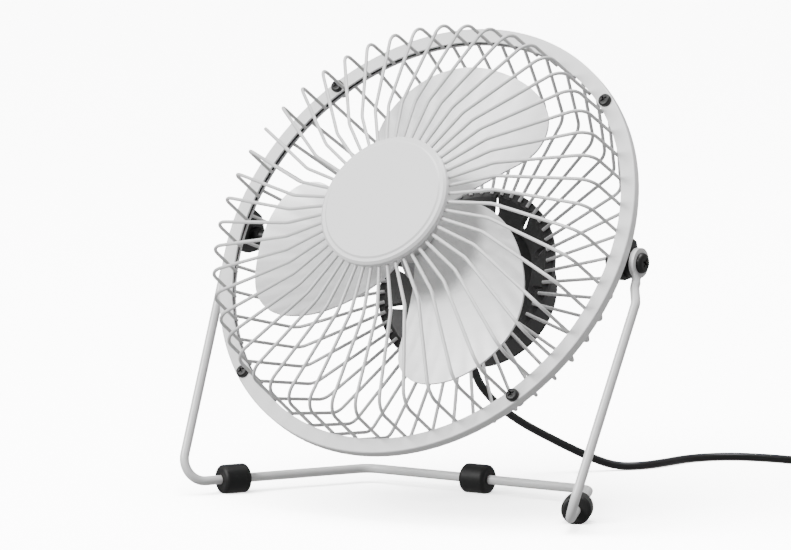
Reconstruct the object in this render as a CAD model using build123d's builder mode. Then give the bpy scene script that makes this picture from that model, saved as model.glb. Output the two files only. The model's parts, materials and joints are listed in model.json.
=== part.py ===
from build123d import *

import os
from math import cos, hypot, pi, radians, sin, tan

# A wire-guard desk fan whose head tilts in a bent-wire stand.  Millimetres, +Z up.  The origin is on
# the surface it stands on, in the middle of the fan's box, and the fan blows towards -Y.

# ---- Driving dimensions ------------------------------------------------------------------------
# Head as a whole.  Offsets called "_at" run forward from the pivot axis along the fan's axis.
tilt_back = 31.2             # how far the head leans back from upright, degrees
pivot_clearance_z = 8.7      # the pivot axis is this much higher than the ring's radius
ring_radius = 100.0          # outside of the front ring
ring_flange = 6.5            # width of the flat ring
ring_face_at = 10.6          # front face of the ring
ring_sheet = 1.0             # sheet the rings are pressed from
ring_skirt = 0.8             # wall of the rim turned back round the ring
ring_rim_depth = 4.0         # depth of that rim
gasket_thickness = 1.6       # rubber between the two rings
ring_gap = 0.3               # rear ring and gasket inside the rim
ring_screw_count = 4
ring_screw_head_d = 5.6
ring_screw_head_h = 2.0
screw_d = 3.0                # M3 screws all over the head
ring_nut_d = 4.6
ring_nut_h = 2.4

# Guards
guard_wire_d = 1.5
guard_wire_count = 48
front_phase = 6.0            # turn of the first front wire's outer end, degrees
front_kink_radius = 50.0
front_kink_at = 40.0
front_shoulder_inset = 1.9   # front wires' shoulder inside the ring's opening
front_shoulder_at = 33.2
front_shoulder_bend = 8.0
shoulder_round = 2.2         # what that bend takes off the guard's forward reach
front_twist = 6.5            # the wires' inner ends turn this much, degrees
rear_shoulder_inset = 13.7
rear_shoulder_at = -21.4
rear_shoulder_bend = 7.0
rear_twist = -4.0
weld_bite = 0.1              # how far a welded wire sinks into what it is welded to

# Front cap and the disc behind it
cap_radius = 29.9
cap_face_at = 46.9
cap_depth = 3.6
cap_wall = 1.4
hub_plate_radius = 27.0
hub_plate_t = 1.0
cap_peg_d = 3.0
cap_peg_circle = 17.0

# Rear housing
housing_rim_radius = 42.5
housing_rim_at = -27.6
housing_rim_width = 4.0
housing_cone_at = -33.0      # where the dished flange meets the cup
housing_cup_radius = 31.0
housing_wall = 2.0
housing_vents = 12
vent_inner = 33.2            # centre of a vent's round end
vent_length = 6.0            # from there to the centre of its narrow end
vent_width = 3.4
vent_turn = 26.0             # turn of the first vent, degrees
bulkhead_at = -42.0          # front face of the wall that carries the motor
cover_at = -52.0             # front face of the rear cover
cover_t = 2.0
cover_round = 1.2            # rounding of the cover's back edge
cover_boss_d = 6.0
cover_screw_count = 3
cover_screw_circle = 24.6
cover_screw_head_d = 5.0

# Motor
can_radius = 17.0
can_length = 42.0
can_wall = 1.2
bell_t = 3.0
magnet_t = 3.4
magnet_gap = 0.5             # magnets to armature
armature_length = 20.0
shaft_d = 3.0
shaft_clearance = 0.04       # shaft in its bearings
bearing_d = 8.0
bearing_length = 4.0
commutator_d = 8.0
brush_size = 2.4
brush_length = 4.6
motor_screw_circle = 12.0

# Rotor
blade_count = 3
blade_tip_inset = 15.5       # blade tips inside the ring's opening
blade_t = 1.0
blade_camber_radius = 160.0
blade_pitch = 11.0           # degrees
blade_mid_turn = 85.0        # where the first blade's own radius points, degrees
blade_mid_at = 18.6
blade_bite = 0.3             # how far the blades are let into the hub
hub_radius = 13.0
hub_front_at = 22.5
hub_depth = 10.0
hub_boss_d = 9.0
hub_cap_d = 7.0
rotor_gap = 1.5              # front bearing to the hub's boss

# Pivots
eyelet_gap = 0.4             # ring to the stand's eyelets
eyelet_radius = 6.3
eyelet_t = 2.2
pivot_screw_d = 4.0
pivot_clearance = 0.08       # pivot screw in the eyelet
pivot_head_d = 8.6
pivot_head_h = 2.0
pivot_play = 0.15            # eyelet to the spacer and to the screw's head
bracket_t = 2.3
bracket_reach = 6.5          # bracket behind the pivot axis
bracket_half_width = 10.0
spacer_radius = 6.2
pivot_washer_t = 1.0
pivot_washer_d = 7.6
pivot_nut_af = 6.6
pivot_nut_h = 3.2
pivot_nut_dome = 4.6

# Stand
stand_wire_d = 4.0
stand_height = 6.0           # wire centre above the surface
stand_front_inset = 1.2      # side bars' front ends inside the ring's outside
stand_front_y = -50.0        # from the pivot axis
stand_rear_share = 0.57      # half width of the stand's back, from the ring's radius
stand_rear_y = 33.0
stand_bend = 9.0
arm_joggle = 2.4             # the arms step outwards just below the eyelets
flat_start = 3.6             # the wire is flattened between here and the round wire's end
flat_end = 8.6
flat_width = 8.0
joggle_start = 11.0
joggle_end = 17.5
foot_length = 12.5
foot_radius = 6.4
foot_grip = 0.03             # rubber feet on the wire
left_foot_share = 0.285       # where along its side bar each foot sits, from the front
right_foot_share = 0.43

# Switch on the rear cover
switch_x = 12.0
switch_up = 6.0
switch_width = 9.0
switch_height = 14.0
switch_flange = 1.4
switch_body_depth = 5.5
rocker_gap = 0.35
rocker_tilt = 8.0            # degrees each side of level
rocker_pin_d = 2.0

# Supply lead
cord_d = 3.6
gland_x = -13.0
gland_up = -22.5
gland_length = 9.0
gland_d = 6.0
cord_start = 8.0             # straight lead out of the strain relief
coil_x = 92.0
coil_y = 215.8
coil_turns_across = 4
coil_layers = 2
coil_mid_radius = 20.6
plug_width = 15.6
plug_height = 7.8
plug_length = 22.0
shell_width = 12.0
shell_height = 4.5
shell_length = 12.0
shell_wall = 0.4

# ---- Worked-out places -------------------------------------------------------------------------
lean = radians(tilt_back)
ring_inner = ring_radius - ring_flange
pivot_height = ring_radius + pivot_clearance_z
front_shoulder_radius = ring_inner - front_shoulder_inset
rear_shoulder_radius = ring_inner - rear_shoulder_inset
blade_tip_radius = ring_inner - blade_tip_inset
stand_front_x = ring_radius - stand_front_inset
stand_rear_x = stand_rear_share * ring_radius
shoulder_reach = front_shoulder_radius * sin(lean) + (front_shoulder_at - shoulder_round) * cos(lean)
reach_front = shoulder_reach + guard_wire_d / 2
reach_rear = (housing_cup_radius - cover_round) * sin(lean) - (cover_at - cover_t) * cos(lean)
pivot_y = (reach_front - reach_rear) / 2
pivot = Vector(0, pivot_y, pivot_height)
forward = Vector(0, -cos(lean), sin(lean))
head = Plane(origin=pivot, x_dir=(1, 0, 0), z_dir=forward)            # x across, y up the face
head_side = Plane(origin=pivot, x_dir=(1, 0, 0), z_dir=-head.y_dir)   # x radius, y forward
head_axis = Axis(pivot, forward)
pivot_axis = Axis(pivot, (1, 0, 0))

screw_circle = ring_radius - ring_flange / 2
gasket_at = ring_face_at - ring_sheet - gasket_thickness
rear_ring_at = gasket_at - ring_sheet
rear_ring_radius = ring_radius - ring_skirt - ring_gap
hub_plate_at = cap_face_at - cap_depth
eyelet_x = ring_radius + eyelet_gap
bracket_x = rear_ring_radius - 2.1
can_front_at = bulkhead_at + can_length
shaft_r = shaft_d / 2
cord_r = cord_d / 2
coil_outer_turn = coil_mid_radius + (coil_turns_across - 1) * cord_r    # centre of its outermost turn
coil_inner_turn = coil_mid_radius - (coil_turns_across - 1) * cord_r
arm_run = hypot(stand_front_y, stand_height - pivot_height)
arm_down = Vector(0, stand_front_y / arm_run, (stand_height - pivot_height) / arm_run)

os.makedirs("parts", exist_ok=True)


def write(piece, name):
    """Label a finished piece and write its STEP file."""
    piece.label = name
    export_step(piece, f"parts/{name}.step")


def around(piece, count, start=0.0):
    """Copies of one piece, evenly spaced round the head's axis."""
    return Compound(children=[piece.rotate(head_axis, start + 360 * i / count) for i in range(count)])


def tube(points, radii, diameter):
    """A round wire or cable along straight runs joined by arcs."""
    with BuildPart() as run:
        with BuildLine() as route:
            FilletPolyline(*points, radius=radii)
        path = route.wires()[0]
        with BuildSketch(Plane(path @ 0, z_dir=path % 0)):
            Circle(diameter / 2)
        sweep(path=path)
    return run.part, path.length


# ---- Rings, gasket and their screws ------------------------------------------------------------
# The front ring is a flat annulus with its rim turned back.  The rear ring and the gasket sit inside
# the rim, and four screws with round nuts hold the three together.
with BuildPart() as front_ring:
    with BuildSketch(head.offset(ring_face_at)):
        Circle(ring_radius)
    extrude(amount=-ring_rim_depth)
    with BuildSketch(head.offset(ring_face_at)):
        Circle(ring_inner)
    extrude(amount=-ring_rim_depth, mode=Mode.SUBTRACT)
    with BuildSketch(head.offset(ring_face_at - ring_sheet)):
        Circle(ring_radius - ring_skirt)
    extrude(amount=-ring_rim_depth, mode=Mode.SUBTRACT)
    fillet(front_ring.edges().group_by(head_axis)[-1].sort_by(SortBy.LENGTH)[-1], 0.7)
    with BuildSketch(head.offset(ring_face_at)):
        with PolarLocations(screw_circle, ring_screw_count, 45):
            Circle(screw_d / 2)
    extrude(amount=-ring_sheet, mode=Mode.SUBTRACT)
write(front_ring.part, "front_ring")


def flat_ring(at, inner, outer, thickness):
    """A flat ring with the four screw holes, its back face at the given offset."""
    with BuildPart() as ring:
        with BuildSketch(head.offset(at)):
            Circle(outer)
            Circle(inner, mode=Mode.SUBTRACT)
            with PolarLocations(screw_circle, ring_screw_count, 45):
                Circle(screw_d / 2, mode=Mode.SUBTRACT)
        extrude(amount=thickness)
    return ring.part


write(flat_ring(gasket_at, ring_inner + 0.5, rear_ring_radius, gasket_thickness), "ring_gasket")
write(flat_ring(rear_ring_at, ring_inner, rear_ring_radius, ring_sheet), "rear_ring")

with BuildPart() as ring_screw:
    with BuildSketch(head.offset(ring_face_at)):
        with PolarLocations(screw_circle, 1, 45):
            Circle(ring_screw_head_d / 2)
    extrude(amount=ring_screw_head_h)
    fillet(ring_screw.edges().group_by(head_axis)[-1], 0.9)
    with BuildSketch(head.offset(ring_face_at + ring_screw_head_h)):
        with PolarLocations(screw_circle, 1, 45):
            Rectangle(2.9, 0.7)
            Rectangle(0.7, 2.9)
    extrude(amount=-1.1, mode=Mode.SUBTRACT)
    with BuildSketch(head.offset(ring_face_at)):
        with PolarLocations(screw_circle, 1, 45):
            Circle(screw_d / 2)
    extrude(amount=rear_ring_at - ring_nut_h - ring_face_at)
write(around(ring_screw.part, ring_screw_count), "ring_screws")

with BuildPart() as ring_nut:
    with BuildSketch(head.offset(rear_ring_at)):
        with PolarLocations(screw_circle, 1, 45):
            Circle(ring_nut_d / 2)
            Circle(screw_d / 2, mode=Mode.SUBTRACT)
    extrude(amount=-ring_nut_h)
write(around(ring_nut.part, ring_screw_count), "ring_nuts")


# ---- Wire guards -------------------------------------------------------------------------------
# Each guard is one bent wire repeated round the head.  A wire's corners are given as radius, offset
# and turn about the head's axis.
def guard_wire(corners, bends):
    """One wire through its corners, each (radius, offset, turn in degrees)."""
    points = [
        pivot + head.x_dir * (r * cos(radians(turn))) + head.y_dir * (r * sin(radians(turn))) + forward * at
        for r, at, turn in corners
    ]
    return tube(points, bends, guard_wire_d)[0]


wire_r = guard_wire_d / 2
half_pitch = 180 / guard_wire_count
hub_weld_at = hub_plate_at - wire_r + weld_bite
cap_rim_at = hub_plate_at + weld_bite
front_wire = guard_wire(
    [
        (hub_plate_radius - 6, hub_weld_at, front_twist),
        (hub_plate_radius + 2, hub_weld_at, front_twist),
        (front_kink_radius, front_kink_at, front_twist),
        (front_shoulder_radius, front_shoulder_at, 0),
        (ring_inner - wire_r + weld_bite, ring_face_at - ring_sheet - wire_r, 0),
    ],
    [8, 12, front_shoulder_bend],
)
write(around(front_wire, guard_wire_count, front_phase), "front_guard_wires")

rear_wire = guard_wire(
    [
        (ring_inner + 0.3, rear_ring_at + weld_bite, 0),
        (rear_shoulder_radius, rear_shoulder_at, rear_twist / 2),
        (housing_rim_radius - housing_rim_width + 1, housing_rim_at + wire_r - weld_bite, rear_twist),
    ],
    [rear_shoulder_bend],
)
write(around(rear_wire, guard_wire_count, half_pitch), "rear_guard_wires")

# ---- Hub plate and cap at the front ------------------------------------------------------------
with BuildPart() as hub_plate:
    with BuildSketch(head.offset(hub_plate_at)):
        Circle(hub_plate_radius)
        with PolarLocations(cap_peg_circle, 3, 90):
            Circle(cap_peg_d / 2, mode=Mode.SUBTRACT)
    extrude(amount=hub_plate_t)
write(hub_plate.part, "front_hub_plate")

with BuildPart() as cap:
    with BuildSketch(head_side):
        with BuildLine():
            Polyline(
                (0, cap_face_at),
                (cap_radius - 3.2, cap_face_at),
                (cap_radius - 2.4, cap_face_at - 0.5),
                (cap_radius - 1.0, cap_face_at - 0.5),
                (cap_radius, cap_face_at - 1.5),
                (cap_radius, cap_rim_at),
                (cap_radius - cap_wall, cap_rim_at),
                (cap_radius - cap_wall, cap_face_at - cap_wall),
                (0, cap_face_at - cap_wall),
                close=True,
            )
        make_face()
    revolve(axis=head_axis)
    with BuildSketch(head.offset(cap_face_at - cap_wall)):
        with PolarLocations(cap_peg_circle, 3, 90):
            Circle(cap_peg_d / 2)
    extrude(amount=hub_plate_at - cap_face_at + cap_wall)
write(cap.part, "front_cap")

# ---- Rear housing ------------------------------------------------------------------------------
# One moulding: a flat rim that the rear wires are fixed to, a dished flange with drop-shaped vents,
# a deep cup, and inside the cup a bulkhead that carries the motor.
rim_inner = housing_rim_radius - housing_rim_width
cup_inner = housing_cup_radius - housing_wall
with BuildPart() as vent:
    with BuildSketch(head.offset(housing_rim_at)):
        for at, size in ((vent_inner, vent_width), (vent_inner + vent_length, vent_width / 3)):
            with PolarLocations(at, 1, vent_turn):
                Circle(size / 2)
        make_hull()
    extrude(amount=-12)
with BuildPart() as rear_housing:
    with BuildSketch(head_side):
        with BuildLine():
            Polyline(
                (housing_rim_radius, housing_rim_at),
                (rim_inner, housing_rim_at),
                (cup_inner, housing_cone_at),
                (cup_inner, bulkhead_at),
                (bearing_d, bulkhead_at),
                (bearing_d, bulkhead_at - housing_wall),
                (cup_inner, bulkhead_at - housing_wall),
                (cup_inner, cover_at),
                (housing_cup_radius, cover_at),
                (housing_cup_radius, housing_cone_at - housing_wall),
                (rim_inner, housing_rim_at - housing_wall),
                (housing_rim_radius, housing_rim_at - housing_wall),
                close=True,
            )
        make_face()
    revolve(axis=head_axis)
    add(around(vent.part, housing_vents), mode=Mode.SUBTRACT)
    with BuildSketch(head.offset(bulkhead_at)):
        with PolarLocations(motor_screw_circle, 2):
            Circle(screw_d / 2 + 0.1)
    extrude(amount=-housing_wall, mode=Mode.SUBTRACT)
    with BuildSketch(head.offset(bulkhead_at - housing_wall)):
        with PolarLocations(cover_screw_circle, cover_screw_count, 90):
            Circle(cover_boss_d / 2)
            Circle(screw_d / 2, mode=Mode.SUBTRACT)
    extrude(amount=cover_at - bulkhead_at + housing_wall)
write(rear_housing.part, "rear_housing")

# ---- Rear cover, its screws and the cord's strain relief ---------------------------------------
cover_back = cover_at - cover_t
switch_place = (switch_x, switch_up)
with BuildPart() as rear_cover:
    with BuildSketch(head.offset(cover_at)):
        Circle(housing_cup_radius)
    extrude(amount=-cover_t)
    fillet(rear_cover.edges().group_by(head_axis)[0], cover_round)
    with BuildSketch(head.offset(cover_at)):
        with PolarLocations(cover_screw_circle, cover_screw_count, 90):
            Circle(screw_d / 2 + 0.1)
        with Locations((gland_x, gland_up)):
            Circle(cord_r + 0.7)
        with Locations(switch_place):
            Rectangle(switch_width, switch_height)
    extrude(amount=-cover_t, mode=Mode.SUBTRACT)
write(rear_cover.part, "rear_cover")

with BuildPart() as cover_screw:
    with BuildSketch(head.offset(cover_back)):
        with PolarLocations(cover_screw_circle, 1, 90):
            Circle(cover_screw_head_d / 2)
    extrude(amount=-1.6)
    fillet(cover_screw.edges().group_by(head_axis)[0], 0.7)
    with BuildSketch(head.offset(cover_back - 1.6)):
        with PolarLocations(cover_screw_circle, 1, 90):
            Rectangle(2.6, 0.6)
            Rectangle(0.6, 2.6)
    extrude(amount=0.9, mode=Mode.SUBTRACT)
    with BuildSketch(head.offset(cover_back)):
        with PolarLocations(cover_screw_circle, 1, 90):
            Circle(screw_d / 2 - 0.02)
    extrude(amount=cover_t + 5)
write(around(cover_screw.part, cover_screw_count), "rear_cover_screws")

gland = Plane(
    origin=pivot + head.x_dir * gland_x + head.y_dir * gland_up + forward * cover_back,
    x_dir=(1, 0, 0),
    z_dir=-forward,
)
with BuildPart() as strain_relief:
    with BuildSketch(gland):
        Circle(gland_d / 2)
    with BuildSketch(gland.offset(gland_length)):
        Circle(cord_r + 0.7)
    loft()
    with BuildSketch(gland):
        Circle(cord_r + 0.65)
    extrude(amount=-cover_t)
    with BuildSketch(gland.offset(-cover_t)):
        Circle(cord_r + 1.15)
    extrude(amount=-1.2)
write(strain_relief.part, "strain_relief")

# ---- Switch ------------------------------------------------------------------------------------
# A rocker that turns on a pin in its body.  It is stored pressed at its lower half.
switch_back = cover_back - switch_flange
with BuildPart() as switch_body:
    with BuildSketch(head.offset(switch_back)):
        with Locations(switch_place):
            Rectangle(switch_width + 2.4, switch_height + 2.4)
    extrude(amount=switch_flange)
    with BuildSketch(head.offset(cover_back)):
        with Locations(switch_place):
            Rectangle(switch_width - 0.2, switch_height - 0.2)
    extrude(amount=switch_body_depth)
    with BuildSketch(head.offset(switch_back)):
        with Locations(switch_place):
            Rectangle(switch_width - 2.4, switch_height - 2.4)
    extrude(amount=switch_flange + switch_body_depth - 1.2, mode=Mode.SUBTRACT)
    with BuildSketch(head.offset(cover_back + switch_body_depth)):
        for side in (-1, 1):
            with Locations((switch_x, switch_up + side * 3)):
                Rectangle(3.0, 0.8)
    extrude(amount=1.8)
write(switch_body.part, "switch_body")

rocker_y = (switch_height - 2.4) / 2 - rocker_gap
rocker_pin_at = cover_back + 0.6
rocker_side = Plane(
    origin=pivot + head.x_dir * switch_x + head.y_dir * switch_up + forward * rocker_pin_at,
    x_dir=tuple(head.y_dir),
    z_dir=(1, 0, 0),
)
rocker_centre = rocker_side.origin
rocker_half = (switch_width - 2.4) / 2 - rocker_gap
with BuildPart() as switch_rocker:
    with BuildSketch(rocker_side.offset(-rocker_half)):
        with BuildLine():
            Polyline(
                (-rocker_y + 0.5, 2.2),
                (0, 3.0),
                (rocker_y - 0.5, 2.2),
                (rocker_y - 1.0, 0.6),
                (0, -1.6),
                (-rocker_y + 1.0, 0.6),
                close=True,
            )
        make_face()
    extrude(amount=2 * rocker_half)
rocker_rest = switch_rocker.part.rotate(Axis(rocker_centre, (1, 0, 0)), rocker_tilt)
write(rocker_rest, "switch_rocker")

# ---- Motor -------------------------------------------------------------------------------------
# A small brushed motor: a steel can on the bulkhead, a plastic bell with the brushes at its rear,
# two magnets inside the can, and an armature on the shaft between two bushes.
bell_front = bulkhead_at + bell_t
commutator_at = bell_front + 1.0
brush_at = commutator_at + 0.4
with BuildPart() as motor_can:
    with BuildSketch(head_side):
        with BuildLine():
            Polyline(
                (bearing_d / 2, can_front_at),
                (can_radius - 1, can_front_at),
                (can_radius, can_front_at - 1),
                (can_radius, bell_front),
                (can_radius - can_wall, bell_front),
                (can_radius - can_wall, can_front_at - can_wall),
                (bearing_d / 2, can_front_at - can_wall),
                close=True,
            )
        make_face()
    revolve(axis=head_axis)
write(motor_can.part, "motor_can")

with BuildPart() as motor_bell:
    with BuildSketch(head.offset(bulkhead_at)):
        Circle(can_radius)
        Circle(bearing_d / 2, mode=Mode.SUBTRACT)
        with PolarLocations(motor_screw_circle, 2):
            Circle(screw_d / 2, mode=Mode.SUBTRACT)
    extrude(amount=bell_t)
    with BuildSketch(head.offset(bell_front)):
        with PolarLocations(commutator_d / 2 + brush_length, 2, 90):
            Rectangle(brush_length, 2 * brush_size)
    extrude(amount=2 * brush_size)
    with BuildSketch(head.offset(brush_at)):
        Rectangle(brush_size, 2 * can_radius)
    extrude(amount=brush_size, mode=Mode.SUBTRACT)
write(motor_bell.part, "motor_end_bell")

magnet_outer = can_radius - can_wall
magnet_inner = magnet_outer - magnet_t
magnet_at = bell_front + 8
with BuildPart() as magnets:
    with BuildSketch(head.offset(magnet_at)):
        Circle(magnet_outer)
        Circle(magnet_inner, mode=Mode.SUBTRACT)
        Rectangle(2 * can_radius, 8, mode=Mode.SUBTRACT)
    extrude(amount=armature_length + 4)
write(magnets.part, "motor_magnets")


def bush(at):
    """A sintered bearing bush round the shaft, its rear face at the given offset."""
    with BuildPart() as ring:
        with BuildSketch(head.offset(at)):
            Circle(bearing_d / 2)
            Circle(shaft_r + shaft_clearance, mode=Mode.SUBTRACT)
        extrude(amount=bearing_length)
    return ring.part


bush_front_at = can_front_at + 1.0
write(bush(bush_front_at - bearing_length), "front_bearing")
write(bush(bulkhead_at - 0.5), "rear_bearing")

with BuildPart() as motor_screw:
    with BuildSketch(head.offset(bulkhead_at - housing_wall)):
        with PolarLocations(motor_screw_circle, 1):
            Circle(screw_d / 2 + 1.3)
    extrude(amount=-1.8)
    with BuildSketch(head.offset(bulkhead_at - housing_wall)):
        with PolarLocations(motor_screw_circle, 1):
            Circle(screw_d / 2 - 0.02)
    extrude(amount=housing_wall + bell_t)
write(around(motor_screw.part, 2), "motor_screws")

with BuildPart() as brush:
    with BuildSketch(head.offset(brush_at)):
        with Locations((0, commutator_d / 2 + shaft_clearance + brush_length / 2)):
            Rectangle(brush_size, brush_length)
    extrude(amount=brush_size)
write(around(brush.part, 2), "motor_brushes")

# ---- Rotor -------------------------------------------------------------------------------------
hub_rear_at = hub_front_at - hub_depth
shaft_rear_at = bulkhead_at - 0.5
with BuildPart() as shaft:
    with BuildSketch(head.offset(shaft_rear_at)):
        Circle(shaft_r)
    extrude(amount=hub_front_at - 2 - shaft_rear_at)
write(shaft.part, "motor_shaft")

armature_at = magnet_at + 2
with BuildPart() as armature:
    with BuildSketch(head.offset(armature_at)):
        Circle(magnet_inner - magnet_gap)
        with PolarLocations(magnet_inner - magnet_gap - 3, 3, 30):
            Rectangle(8, 2.2, mode=Mode.SUBTRACT)
        Circle(shaft_r, mode=Mode.SUBTRACT)
    extrude(amount=armature_length)
write(armature.part, "motor_armature")

with BuildPart() as commutator:
    with BuildSketch(head.offset(commutator_at)):
        Circle(commutator_d / 2)
        Circle(shaft_r, mode=Mode.SUBTRACT)
    extrude(amount=armature_at - commutator_at)
write(commutator.part, "motor_commutator")

# The hub is a turned disc with a boss on the shaft, and a clip closes it at the front.
with BuildPart() as hub:
    with BuildSketch(head_side):
        with BuildLine():
            Polyline(
                (hub_cap_d / 2, hub_front_at),
                (hub_radius - 2, hub_front_at),
                (hub_radius, hub_front_at - 2),
                (hub_radius, hub_rear_at),
                (hub_boss_d / 2, hub_rear_at),
                (hub_boss_d / 2, bush_front_at + rotor_gap),
                (shaft_r, bush_front_at + rotor_gap),
                (shaft_r, hub_front_at - 2),
                (hub_cap_d / 2, hub_front_at - 2),
                close=True,
            )
        make_face()
    revolve(axis=head_axis)
write(hub.part, "fan_hub")

with BuildPart() as hub_clip:
    with BuildSketch(head.offset(hub_front_at - 2)):
        Circle(hub_cap_d / 2 - 0.02)
    extrude(amount=2.6)
    fillet(hub_clip.edges().group_by(head_axis)[-1], 0.8)
write(hub_clip.part, "hub_retainer")

# One blade: its outline is cut out of a thin sheet, hollow towards the front and pitched about the
# blade's own radius.  The outline leaves the hub along the front edge, rounds the tip and comes back.
blade_outline = [(30, 141), (43, 128.5), (54, 118), (63, 108.5), (71, 99), (76.5, 88), (78, 74), (76.5, 58),
                 (70.5, 46.5), (61, 41), (48, 41.5), (34, 44)]
root = hub_radius - blade_bite
with BuildPart() as blade:
    with BuildSketch(head.offset(hub_rear_at - 10)):
        with BuildLine():
            edge = Spline(
                [
                    (r * blade_tip_radius / 78 * cos(radians(a)), r * blade_tip_radius / 78 * sin(radians(a)))
                    for r, a in [(root, 158), *blade_outline, (root, 48)]
                ]
            )
            Line(edge @ 1, edge @ 0)
        make_face()
        Circle(root, mode=Mode.SUBTRACT)
    extrude(amount=40)
    mid = radians(blade_mid_turn)
    across = head.x_dir * sin(mid) - head.y_dir * cos(mid)
    spoke = head.x_dir * cos(mid) + head.y_dir * sin(mid)
    normal = forward * cos(radians(blade_pitch)) + across * sin(radians(blade_pitch))
    sheet_centre = pivot + forward * blade_mid_at + normal * blade_camber_radius
    with BuildSketch(Plane(sheet_centre - spoke * 10, tuple(normal), tuple(spoke))):
        Circle(blade_camber_radius + blade_t / 2)
        Circle(blade_camber_radius - blade_t / 2, mode=Mode.SUBTRACT)
    extrude(amount=blade_tip_radius + 20, mode=Mode.INTERSECT)
write(around(blade.part, blade_count), "fan_blades")

# ---- Pivots ------------------------------------------------------------------------------------
# On each side a bracket welded to the rear ring takes the pivot screw.  The screw passes through the
# stand's eyelet and a spacer, and a domed nut closes it inside the guard.
for side, where in ((-1, "left"), (1, "right")):
    across_plane = Plane(origin=pivot, x_dir=tuple(forward * side), z_dir=(side, 0, 0))

    def pad(start, length, *shapes):
        """Stack discs on the pivot axis: each shape is a radius, the later ones cut out."""
        with BuildPart() as disc:
            with BuildSketch(across_plane.offset(start)):
                Circle(shapes[0])
                for hole in shapes[1:]:
                    Circle(hole, mode=Mode.SUBTRACT)
            extrude(amount=length)
        return disc.part

    screw_r = pivot_screw_d / 2
    with BuildPart() as bracket:
        with BuildSketch(across_plane.offset(bracket_x - bracket_t)):
            with BuildLine():
                Polyline(
                    (side * rear_ring_at, -bracket_half_width),
                    (side * rear_ring_at, bracket_half_width),
                    (-side * 1.0, bracket_half_width - 2),
                    (-side * bracket_reach, 4.0),
                    (-side * bracket_reach, -5.0),
                    (-side * 1.0, -bracket_half_width),
                    close=True,
                )
            make_face()
            Circle(screw_r + 0.1, mode=Mode.SUBTRACT)
        extrude(amount=bracket_t)
    write(bracket.part, f"pivot_bracket_{where}")

    write(pad(bracket_x, eyelet_x - pivot_play - bracket_x, spacer_radius, screw_r + 0.1),
          f"pivot_spacer_{where}")
    write(pad(bracket_x - bracket_t - pivot_washer_t, pivot_washer_t, pivot_washer_d / 2, screw_r + 0.1),
          f"pivot_washer_{where}")

    nut_x = bracket_x - bracket_t - pivot_washer_t
    with BuildPart() as nut:
        with BuildSketch(across_plane.offset(nut_x)):
            RegularPolygon(pivot_nut_af / 2, 6, major_radius=False)
        extrude(amount=-pivot_nut_h)
        with BuildSketch(across_plane.offset(nut_x - pivot_nut_h)):
            Circle(pivot_nut_af / 2 - 0.3)
        extrude(amount=-pivot_nut_dome)
        fillet(nut.edges().sort_by(Axis(pivot, (side, 0, 0)))[0], pivot_nut_af / 2 - 0.6)
        with BuildSketch(across_plane.offset(nut_x)):
            Circle(screw_r)
        extrude(amount=-pivot_nut_h - 2, mode=Mode.SUBTRACT)
    write(nut.part, f"pivot_nut_{where}")

    head_x = eyelet_x + eyelet_t + pivot_play
    with BuildPart() as pivot_screw:
        with BuildSketch(across_plane.offset(head_x)):
            Circle(pivot_head_d / 2)
        extrude(amount=pivot_head_h)
        fillet(pivot_screw.edges().sort_by(Axis(pivot, (side, 0, 0)))[-1], pivot_head_h - 0.4)
        with BuildSketch(across_plane.offset(head_x + pivot_head_h)):
            Rectangle(3.6, 0.8)
            Rectangle(0.8, 3.6)
        extrude(amount=-1.0, mode=Mode.SUBTRACT)
        with BuildSketch(across_plane.offset(head_x)):
            Circle(screw_r)
        extrude(amount=nut_x - pivot_nut_h - 1 - head_x)
    write(pivot_screw.part, f"pivot_screw_{where}")

# ---- Stand -------------------------------------------------------------------------------------
# One bent wire: down each arm, back along the splayed side bars and across the rear.  Its ends are
# flattened to eyelets round the pivot screws.
arm_x = eyelet_x + stand_wire_d / 2 + 0.1
front_corner = Vector(stand_front_x, pivot_y + stand_front_y, stand_height)
rear_corner = Vector(stand_rear_x, pivot_y + stand_rear_y, stand_height)
right_half = [
    pivot + arm_down * flat_end + Vector(arm_x, 0, 0),
    pivot + arm_down * joggle_start + Vector(arm_x, 0, 0),
    pivot + arm_down * joggle_end + Vector(arm_x + arm_joggle, 0, 0),
    front_corner,
    rear_corner,
]
left_half = [Vector(-p.X, p.Y, p.Z) for p in reversed(right_half)]
corner_bends = [4, 6, stand_bend, stand_bend]
stand_tube, stand_length = tube(right_half + left_half, corner_bends + corner_bends[::-1], stand_wire_d)
with BuildPart() as stand:
    add(stand_tube)
    for side in (-1, 1):
        flat_middle = Vector(side * (eyelet_x + eyelet_t / 2), 0, 0)
        with BuildSketch(Plane(pivot + arm_down * flat_start + flat_middle, (side, 0, 0), arm_down)):
            RectangleRounded(eyelet_t - 0.2, flat_width, eyelet_t / 2 - 0.2)
        with BuildSketch(Plane(pivot + arm_down * flat_end + Vector(side * arm_x, 0, 0), (side, 0, 0), arm_down)):
            Circle(stand_wire_d / 2)
        loft()
    for side in (-1, 1):
        eyelet_face = Plane(pivot + Vector(side * eyelet_x, 0, 0), (0, 1, 0), (side, 0, 0))
        with BuildSketch(eyelet_face):
            Circle(eyelet_radius)
        extrude(amount=eyelet_t)
        with BuildSketch(eyelet_face):
            Circle(pivot_screw_d / 2 + pivot_clearance)
        extrude(amount=eyelet_t, mode=Mode.SUBTRACT)
write(stand.part, "stand_wire")

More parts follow.
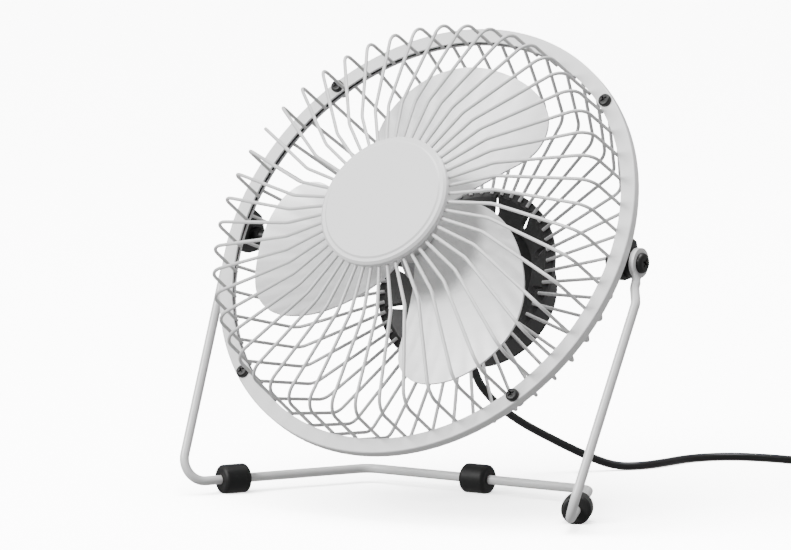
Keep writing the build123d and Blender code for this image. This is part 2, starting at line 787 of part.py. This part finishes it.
bar = rear_corner - front_corner
left_bar = Vector(-bar.X, bar.Y, bar.Z)
left_front = Vector(-front_corner.X, front_corner.Y, front_corner.Z)
foot_places = {
    "foot_right": (front_corner + bar * right_foot_share, bar.normalized()),
    "foot_left": (left_front + left_bar * left_foot_share, left_bar.normalized()),
    "foot_rear": (Vector(0, rear_corner.Y, stand_height), Vector(1, 0, 0)),
}
for name, (centre, along) in foot_places.items():
    with BuildPart() as foot:
        with BuildSketch(Plane(origin=centre - along * (foot_length / 2), z_dir=along)):
            Circle(foot_radius)
        extrude(amount=foot_length)
        fillet(foot.edges().filter_by(GeomType.CIRCLE), 1.8)
        split(bisect_by=Plane.XY, keep=Keep.TOP)
        with BuildSketch(Plane(origin=centre - along * (foot_length / 2), z_dir=along)):
            Circle(stand_wire_d / 2 + foot_grip)
        extrude(amount=foot_length, mode=Mode.SUBTRACT)
    write(foot.part, name)

# ---- Supply lead -------------------------------------------------------------------------------
# A thin round lead from the strain relief, down to the surface behind the fan and away to the
# right, where the rest of it is wound into a flat coil beside its plug.
cord_points = [
    tuple(gland.offset(gland_length).origin),
    tuple(gland.offset(gland_length + cord_start).origin),
    (-14.6, 62.9, 43.3),
    (-12.4, 74.0, 33.2),
    (-9.5, 88.0, 24.4),
    (-3.4, 104.0, 15.6),
    (5.6, 118.0, 7.2),
    (15.0, 128.0, cord_r),
    (24.0, 138.0, cord_r),
    (26.6, 153.0, cord_r),
    (28.4, 169.0, cord_r),
    (39.0, 184.0, cord_r),
    (56.0, 189.4, cord_r),
    (74.0, coil_y - coil_outer_turn, cord_r),
    (coil_x, coil_y - coil_outer_turn, cord_r),
]


def bend_radii(points):
    """Each corner's radius: 0.45 of its shorter run over the tangent of half the turn."""
    radii = []
    for a, b, c in zip(points, points[1:], points[2:]):
        into, out = Vector(b) - Vector(a), Vector(c) - Vector(b)
        turn = radians(into.get_angle(out))
        radii.append(0.45 * min(into.length, out.length) / tan(turn / 2))
    return radii


# The hanging stretch and the lying stretch meet in the middle of a straight run on the surface.
cord_bends = bend_radii(cord_points)
landing = 7                  # the point where the lead comes to lie on the surface
meeting = tuple((Vector(cord_points[landing]) + Vector(cord_points[landing + 1])) / 2)
drop, drop_length = tube(cord_points[: landing + 1] + [meeting], cord_bends[:landing], cord_d)
lay, lay_length = tube([meeting] + cord_points[landing + 1:], cord_bends[landing:], cord_d)
write(drop, "cord_drop")
write(lay, "cord_lead")

with BuildPart() as coil:
    with BuildSketch(Plane((coil_x, coil_y, 0))):
        Circle(coil_outer_turn + cord_r)
        Circle(coil_inner_turn - cord_r, mode=Mode.SUBTRACT)
    extrude(amount=coil_layers * cord_d)
    fillet(coil.edges(), 1.0)
write(coil.part, "cord_coil")

# The plug lies beside the coil, at the end of a short tail that turns back on itself.
plug_z = plug_height / 2
tail_x = coil_x + coil_outer_turn
plug_x = tail_x + 32.0
plug_y = coil_y - 6.0
tail_points = [
    (tail_x, coil_y, 3 * cord_r),
    (tail_x, coil_y + 13.0, 3 * cord_r),
    (tail_x + 16.0, coil_y + 25.0, plug_z),
    (plug_x, coil_y + 13.0, plug_z),
    (plug_x, plug_y + 4.0, plug_z),
]
tail, tail_length = tube(tail_points, bend_radii(tail_points), cord_d)
write(tail, "cord_tail")

plug_plane = Plane(origin=(plug_x, plug_y, plug_z), x_dir=(1, 0, 0), z_dir=(0, -1, 0))
with BuildPart() as plug_body:
    with BuildSketch(plug_plane):
        RectangleRounded(plug_width, plug_height, 1.6)
    extrude(amount=plug_length)
    fillet(plug_body.edges().group_by(Axis.Y)[-1], 1.0)
    with BuildSketch(plug_plane):
        Circle(cord_r + 1.0)
    extrude(amount=-4.0)
    with BuildSketch(plug_plane.offset(-4.0)):
        Circle(cord_r)
    extrude(amount=6.0, mode=Mode.SUBTRACT)
write(plug_body.part, "usb_plug_body")

with BuildPart() as plug_shell:
    with BuildSketch(plug_plane.offset(plug_length)):
        Rectangle(shell_width, shell_height)
    extrude(amount=shell_length)
    with BuildSketch(plug_plane.offset(plug_length)):
        Rectangle(shell_width - 2 * shell_wall, shell_height - 2 * shell_wall)
    extrude(amount=shell_length, mode=Mode.SUBTRACT)
    with BuildSketch(Plane((plug_x, plug_y - plug_length - 5.5, plug_z))):
        with Locations((-2.6, 0), (2.6, 0)):
            Rectangle(2.2, 2.2)
    extrude(amount=shell_height, both=True, mode=Mode.SUBTRACT)
write(plug_shell.part, "usb_plug_shell")

with BuildPart() as plug_tongue:
    with BuildSketch(plug_plane.offset(plug_length)):
        with Locations((0, 0.9)):
            Rectangle(shell_width - 2 * shell_wall - 0.1, 1.8)
    extrude(amount=shell_length - 0.6)
write(plug_tongue.part, "usb_plug_tongue")

coil_length = 2 * (coil_turns_across - 1) * 2 * pi * coil_mid_radius + 2 * pi * (coil_inner_turn + coil_outer_turn / 4)
print("stand wire", round(stand_length, 1))
print("lead radii", [round(r, 1) for r in cord_bends + bend_radii(tail_points)])
print("lead volumes over section times length", drop.volume / drop_length / (pi * cord_r**2),
      lay.volume / lay_length / (pi * cord_r**2), tail.volume / tail_length / (pi * cord_r**2))
print("lead points", [tuple(round(c / 1000, 5) for c in p) for p in cord_points + tail_points])
print("lead lengths", round(drop_length), round(lay_length), round(coil_length), round(tail_length))
print("lead in all", round(drop_length + lay_length + coil_length + tail_length))
print("pivot", pivot, "rocker pin", rocker_centre)
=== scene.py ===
import json
from math import cos, pi, radians, sin

import bpy
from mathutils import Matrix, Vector


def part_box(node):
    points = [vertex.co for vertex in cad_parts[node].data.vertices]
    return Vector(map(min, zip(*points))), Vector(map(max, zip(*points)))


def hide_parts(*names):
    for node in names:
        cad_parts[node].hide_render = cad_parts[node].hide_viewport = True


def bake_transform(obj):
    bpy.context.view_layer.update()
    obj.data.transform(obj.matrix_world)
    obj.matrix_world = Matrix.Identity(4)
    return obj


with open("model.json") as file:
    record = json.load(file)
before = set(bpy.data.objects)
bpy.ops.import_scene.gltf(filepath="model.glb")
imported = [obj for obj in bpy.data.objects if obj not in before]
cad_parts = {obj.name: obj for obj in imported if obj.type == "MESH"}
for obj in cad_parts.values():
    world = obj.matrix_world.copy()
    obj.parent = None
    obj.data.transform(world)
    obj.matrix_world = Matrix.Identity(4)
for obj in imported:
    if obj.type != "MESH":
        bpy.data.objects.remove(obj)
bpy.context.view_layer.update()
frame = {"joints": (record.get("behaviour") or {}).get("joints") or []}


# ---- Camera ------------------------------------------------------------------------------------
# A long lens looks at the fan from its right and a little above, so that the head's open face is
# turned to the left and the tilted guard shows both of its layers.
tilt_axis = Vector(next(j["pos_m"] for j in frame["joints"] if j["name"] == "head_tilt"))
turn, rise, distance = radians(34.174), radians(6.343), 1.7187
from_tilt_axis = Vector((0.3670, -0.5705, 0.0640))
film_width, focal_length = 36, 257.4
camera = bpy.data.cameras.new("camera")
camera.sensor_width = film_width
camera.lens = focal_length
camera.clip_end = 30
eye = bpy.data.objects.new("camera", camera)
eye.location = (
    tilt_axis
    + from_tilt_axis
    + distance * Vector((sin(turn) * cos(rise), -cos(turn) * cos(rise), sin(rise)))
)
eye.rotation_euler = (pi / 2 - rise, 0, turn)
bpy.context.scene.collection.objects.link(eye)
bpy.context.scene.camera = eye


# ---- Supply lead -------------------------------------------------------------------------------
# A thin round black lead in a smooth sheath.  It leaves the strain relief on the back of the head,
# falls to the table, wanders off to the right and ends in a neat coil with its plug.
class Value:
    """A shader socket that takes part in plain arithmetic, and grows further nodes."""

    def __init__(self, socket):
        self.socket = socket
        self.tree = socket.node.id_data

    def node(self, kind, settings=None, output=0, **inputs):
        """Any node: its settings first, then its sockets' values or links, by name or as s and a number."""
        made = self.tree.nodes.new(kind)
        for name, value in (settings or {}).items():
            setattr(made, name, value)
        for name, value in inputs.items():
            numbered = name[0] == "s" and name[1:].isdigit()
            link(self.tree, value, made.inputs[int(name[1:]) if numbered else name])
        return Value(made.outputs[output])

    def __add__(self, other):
        return self.node("ShaderNodeMath", {"operation": "ADD"}, s0=self, s1=other)

    def __mul__(self, other):
        return self.node("ShaderNodeMath", {"operation": "MULTIPLY"}, s0=self, s1=other)

    __radd__, __rmul__ = __add__, __mul__


def link(tree, value, slot):
    """Gives a socket a link, a colour or a number."""
    if isinstance(value, Value):
        tree.links.new(value.socket, slot)
    elif isinstance(value, tuple) and slot.type == "RGBA":
        slot.default_value = (*value, 1)
    else:
        slot.default_value = value


def noise(place, scale, detail=2.0):
    return place.node("ShaderNodeTexNoise", Vector=place, Scale=scale, Detail=detail)


def shade(factor, first, second):
    """A colour between two, by a factor that changes over the surface."""
    return factor.node("ShaderNodeMix", {"data_type": "RGBA"}, output=2, s0=factor, s6=first, s7=second)


def bump(height, strength, depth):
    return height.node("ShaderNodeBump", Height=height, Strength=strength, Distance=depth)


def finish(name, pattern, *pieces):
    """A material from the sockets that the pattern gives for a place on the piece, put on pieces."""
    made = bpy.data.materials.new(name)
    made.use_nodes = True
    tree = made.node_tree
    place = Value(tree.nodes.new("ShaderNodeTexCoord").outputs["Object"])
    for socket, value in pattern(place).items():
        link(tree, value, tree.nodes["Principled BSDF"].inputs[socket])
    for piece in pieces:
        bpy.data.objects[piece].data.materials.clear()
        bpy.data.objects[piece].data.materials.append(made)


cord_diameter = 0.0036
lead_points = [
    (-0.013, 0.04878, 0.05682), (-0.013, 0.05562, 0.05267), (-0.0146, 0.0629, 0.0433),
    (-0.0124, 0.0740, 0.0332), (-0.0095, 0.0880, 0.0244), (-0.0034, 0.1040, 0.0156),
    (0.0056, 0.1180, 0.0072), (0.0150, 0.1280, 0.0018), (0.0240, 0.1380, 0.0018),
    (0.0266, 0.1530, 0.0018), (0.0284, 0.1690, 0.0018), (0.0390, 0.1840, 0.0018),
    (0.0560, 0.1894, 0.0018), (0.0740, 0.1898, 0.0018),
]
tail_points = [
    (0.1180, 0.2288, 0.0054), (0.1340, 0.2408, 0.0039),
    (0.1500, 0.2288, 0.0039), (0.1500, 0.2138, 0.0039),
]
# The coil winds inwards on the table for three turns, climbs in one and winds outwards on top.
coil_low, coil_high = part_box("cord_coil")
coil_middle = (coil_low + coil_high) / 2
outer_turn = (coil_high.x - coil_low.x) / 2 - cord_diameter / 2
turns_in, points_a_turn = 3, 16
turns_in_all = 2 * turns_in + 1.25
coil_points = []
for step in range(int(turns_in_all * points_a_turn) + 1):
    turns = step / points_a_turn
    inwards = min(turns, turns_in) - max(turns - turns_in - 1, 0)
    angle = 2 * pi * turns - pi / 2
    reach = (outer_turn - inwards * cord_diameter) / cos(pi / points_a_turn)
    lift = cord_diameter / 2 + cord_diameter * min(max(turns - turns_in, 0), 1)
    coil_points.append((coil_middle.x + reach * cos(angle), coil_middle.y + reach * sin(angle), lift))
route = bpy.data.curves.new("supply_lead", "CURVE")
route.dimensions = "3D"
spline = route.splines.new("NURBS")
lead_route = lead_points + coil_points + tail_points
spline.points.add(len(lead_route) - 1)
for point, place in zip(spline.points, lead_route):
    point.co = (*place, 1)
spline.order_u = 3
spline.use_endpoint_u = True
spline.resolution_u = 6
lead = bpy.data.objects.new("supply_lead", route)
bpy.context.scene.collection.objects.link(lead)
lead_path = [tuple(v.co) for v in bpy.data.meshes.new_from_object(lead).vertices]
route.bevel_depth = cord_diameter / 2
route.bevel_resolution = 3
route.use_fill_caps = True
bpy.ops.object.select_all(action="DESELECT")
bpy.context.view_layer.objects.active = lead
lead.select_set(True)
bpy.ops.object.convert(target="MESH")
bpy.ops.object.shade_smooth_by_angle(angle=radians(50))


def soft_sheath(place):
    return {
        "Base Color": shade(noise(place, 90), (0.006, 0.006, 0.006), (0.011, 0.011, 0.012)),
        "Roughness": 0.30 + 0.14 * noise(place, 240),
        "Specular IOR Level": 0.35,
        "Normal": bump(noise(place, 5200), 0.12, 0.0001),
    }


finish("black_sheath", soft_sheath, "supply_lead")
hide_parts("cord_drop", "cord_lead", "cord_coil", "cord_tail")
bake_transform(lead)


# ---- Stand, rings and guards -------------------------------------------------------------------
# Bent and welded steel wire and pressed rings, all in one satin powder coat.  It has a very fine
# orange peel, and lies a shade thinner here and there.
def powder_coat(light, dark, rough):
    def pattern(place):
        cloud = noise(place, 38, 3.0)
        return {
            "Base Color": shade(cloud, (dark,) * 3, (light,) * 3),
            "Roughness": rough - 0.05 + 0.12 * cloud,
            "Coat Weight": 0.15,
            "Coat Roughness": 0.25,
            "Normal": bump(noise(place, 1500, 3.0), 0.10, 0.00012),
        }

    return pattern


finish("white_ring_coat", powder_coat(0.66, 0.62, 0.40), "front_ring", "rear_ring")
finish("white_stand_coat", powder_coat(0.64, 0.59, 0.36), "stand_wire")
finish(
    "white_wire_coat", powder_coat(0.56, 0.50, 0.34),
    "front_guard_wires", "rear_guard_wires", "front_hub_plate",
)


# ---- Front cap ---------------------------------------------------------------------------------
# An injection-moulded cover, pushed through the hub plate on three pegs.  Its face is plain, with a
# satin grain, and a raised lip runs round it.
def cap_moulding(place):
    return {
        "Base Color": shade(noise(place, 26), (0.66, 0.66, 0.66), (0.69, 0.69, 0.69)),
        "Roughness": 0.32 + 0.08 * noise(place, 140),
        "Coat Weight": 0.25,
        "Coat Roughness": 0.18,
        "Normal": bump(noise(place, 3800), 0.06, 0.00008),
    }


finish("white_cap_moulding", cap_moulding, "front_cap")


# ---- Rotor -------------------------------------------------------------------------------------
# Three blades stamped from aluminium sheet on a turned hub.  The sheet is satin-rolled, so it has
# faint streaks, which lean with the head.
head_lean, streak_stretch = radians(31.2), 14.0


def aluminium(bright, rough, streak, share):
    def pattern(place):
        rolled = place.node(
            "ShaderNodeMapping", Vector=place,
            Rotation=(head_lean, 0, 0), Scale=(1.0, streak_stretch, 1.0),
        )
        streaks = noise(rolled, streak, 4.0)
        return {
            "Base Color": shade(streaks, (0.90 * bright,) * 3, (bright,) * 3),
            "Metallic": share,
            "Roughness": rough - 0.06 + 0.14 * streaks,
            "Normal": bump(streaks, 0.05, 0.0002),
        }

    return pattern


finish("blade_aluminium", aluminium(0.82, 0.38, 60, 0.45), "fan_blades")
finish("hub_aluminium", aluminium(0.60, 0.30, 220, 1.0), "fan_hub")


# ---- Rear housing, cover, switch and pivots' spacers -------------------------------------------
# Glass-filled mouldings in dark grey and black, eroded to a fine matt grain.
def moulded(grey, rough, gloss=0.3):
    def pattern(place):
        return {
            "Base Color": shade(noise(place, 60), (grey,) * 3, (1.3 * grey,) * 3),
            "Roughness": rough - 0.06 + 0.12 * noise(place, 300),
            "Specular IOR Level": gloss,
            "Normal": bump(noise(place, 2600), 0.18, 0.0001),
        }

    return pattern


finish("dark_grey_moulding", moulded(0.036, 0.45), "rear_housing")
finish(
    "black_moulding", moulded(0.007, 0.48),
    "rear_cover", "switch_body", "pivot_spacer_left", "pivot_spacer_right",
)
finish("rocker_moulding", moulded(0.008, 0.28, 0.5), "switch_rocker")
finish("plug_moulding", moulded(0.008, 0.38), "usb_plug_body")
finish("white_insulator", moulded(0.45, 0.40), "motor_end_bell", "usb_plug_tongue")


# ---- Rubber and painted gap shade --------------------------------------------------------------
# Feet slipped on the stand's wire and the strain relief, in black rubber. The gasket between the rings is
# painted shade: a black ring set where the gap between the two rings lies in shade.
def rubber_and_gap_shade(place):
    return {
        "Base Color": shade(noise(place, 120), (0.005, 0.005, 0.005), (0.010, 0.010, 0.010)),
        "Roughness": 0.44 + 0.18 * noise(place, 420),
        "Specular IOR Level": 0.28,
        "Normal": bump(noise(place, 2100, 3.0), 0.25, 0.00012),
    }


# The black on ring_gasket is painted shade, a dark ring where the gap between the rings lies in shade.
finish("black_rubber", rubber_and_gap_shade, "foot_left", "foot_right", "foot_rear", "ring_gasket", "strain_relief")


# ---- Screws, brackets and motor ----------------------------------------------------------------
# Black-oxide screws and nuts, painted steel brackets, and the plated steel and bronze inside.
def metal(colour, rough, share=1.0):
    def pattern(place):
        marks = noise(place, 700, 4.0)
        return {
            "Base Color": shade(marks, tuple(0.85 * c for c in colour), colour),
            "Metallic": share,
            "Roughness": rough - 0.05 + 0.15 * marks,
            "Normal": bump(marks, 0.08, 0.0001),
        }

    return pattern


finish(
    "black_oxide", metal((0.012, 0.012, 0.012), 0.38, 0.4), "ring_screws", "rear_cover_screws",
    "pivot_screw_left", "pivot_screw_right", "pivot_nut_left", "pivot_nut_right",
    "pivot_washer_left", "pivot_washer_right",
)
finish(
    "bracket_paint", metal((0.030, 0.030, 0.031), 0.42, 0.3),
    "pivot_bracket_left", "pivot_bracket_right",
)
finish(
    "plated_steel", metal((0.55, 0.55, 0.56), 0.28),
    "motor_can", "motor_shaft", "motor_screws", "ring_nuts", "hub_retainer", "usb_plug_shell",
)
finish("laminations", metal((0.40, 0.40, 0.42), 0.40), "motor_armature")
finish("ferrite", metal((0.08, 0.08, 0.085), 0.60, 0.2), "motor_magnets")
finish(
    "bronze", metal((0.62, 0.38, 0.20), 0.34),
    "motor_commutator", "motor_brushes", "front_bearing", "rear_bearing",
)


# ---- Floor and light ---------------------------------------------------------------------------
# A white sweep of paper that rises behind the fan.  One large soft light stands in front of the fan
# and a weaker one hangs over it, in a white room, and a third light reaches the paper alone.
bpy.ops.object.select_all(action="DESELECT")
bpy.ops.mesh.primitive_grid_add(x_subdivisions=2, y_subdivisions=60, size=1, location=(0, 0, 0))
paper = bpy.context.object
paper.name = "paper_sweep"
wide, near, far, bend_radius, paper_length = 12.0, -4.0, 3.5, 1.2, 10.0
flat = far - near
for vertex in paper.data.vertices:
    along = (vertex.co.y + 0.5) * paper_length
    if along <= flat:
        y, z = near + along, 0.0
    elif along <= flat + bend_radius * pi / 2:
        bent = (along - flat) / bend_radius
        y, z = far + bend_radius * sin(bent), bend_radius * (1 - cos(bent))
    else:
        y, z = far + bend_radius, bend_radius + (along - flat - bend_radius * pi / 2)
    vertex.co = (vertex.co.x * wide, y, z)
bpy.ops.object.shade_smooth_by_angle(angle=radians(60))


def white_paper(place):
    return {
        "Base Color": shade(noise(place, 3), (0.84, 0.84, 0.84), (0.86, 0.86, 0.86)),
        "Roughness": 0.8,
        "Specular IOR Level": 0.1,
        "Emission Color": (1.0, 1.0, 1.0),
        "Emission Strength": 1.6,
    }


# The paper glows a little, and sends no light back to the fan, so the fan keeps its shading.
finish("white_paper", white_paper, "paper_sweep")
paper.visible_diffuse = False
paper.visible_glossy = False


aim = Vector((0, 0, 0.1))


def soft_light(name, place, size, power):
    light = bpy.data.lights.new(name, "AREA")
    light.shape = "RECTANGLE"
    light.size, light.size_y = size
    light.energy = power
    lamp = bpy.data.objects.new(name, light)
    lamp.location = place
    lamp.rotation_euler = (aim - Vector(place)).to_track_quat("-Z", "Y").to_euler()
    bpy.context.scene.collection.objects.link(lamp)


soft_light("light_left", (-0.9, -2.0, 1.5), (0.8, 0.8), 112)
soft_light("light_overhead", (0.2, 0.1, 1.9), (1.2, 1.2), 56)
sky = bpy.data.lights.new("light_for_paper", "SUN")
sky.energy = 34
sky.angle = radians(75)
paper_lamp = bpy.data.objects.new("light_for_paper", sky)
paper_lamp.rotation_euler = (radians(25), 0, radians(-20))
bpy.context.scene.collection.objects.link(paper_lamp)
lit = bpy.data.collections.new("lit_by_light_for_paper")
lit.objects.link(paper)
paper_lamp.light_linking.receiver_collection = lit
world = bpy.data.worlds.new("white_room")
world.use_nodes = True
world.node_tree.nodes["Background"].inputs["Color"].default_value = (1, 1, 1, 1)
world.node_tree.nodes["Background"].inputs["Strength"].default_value = 0.55
bpy.context.scene.world = world
